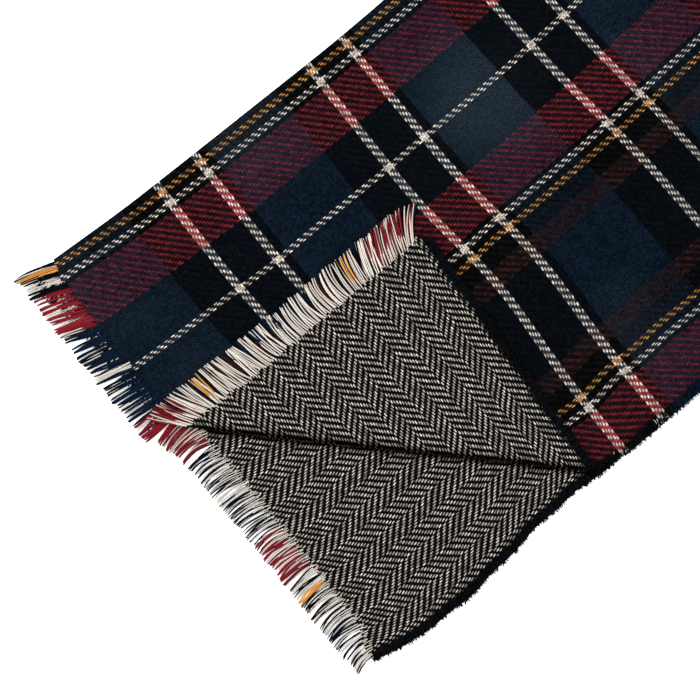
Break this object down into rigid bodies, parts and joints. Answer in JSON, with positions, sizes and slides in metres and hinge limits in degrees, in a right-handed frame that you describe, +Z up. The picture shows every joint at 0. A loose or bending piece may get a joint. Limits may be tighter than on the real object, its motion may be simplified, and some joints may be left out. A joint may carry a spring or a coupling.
{
  "type": "tartan blanket scarf",
  "caption": "Long fringed woollen scarf, tartan with a herringbone reverse, folded lengthwise and laid flat with one corner turned back.",
  "frame": {"origin": "middle of the footprint, on the surface the scarf lies on", "axes": "+X along the scarf from the end with the turned corner to the far end, +Y across it towards the lengthwise fold, +Z up"},
  "size_m": [1.9135, 0.4136, 0.0105],
  "materials": {
    "face_tartan": "brushed wool twill, navy, black and dark red tartan with cream and gold lines",
    "reverse_herringbone": "brushed wool herringbone, black and cream",
    "fringe_yarn": "soft spun wool yarn, cream with black, navy, red and gold"
  },
  "bodies": {
    "root": {"bottom_layer": "reverse_herringbone", "top_layer": "face_tartan", "turned_corner": "reverse_herringbone", "fringe_near_top": "fringe_yarn", "fringe_near_bottom": "fringe_yarn", "fringe_turned_corner": "fringe_yarn", "fringe_far_top": "fringe_yarn", "fringe_far_bottom": "fringe_yarn"}
  },
  "joints": []
}
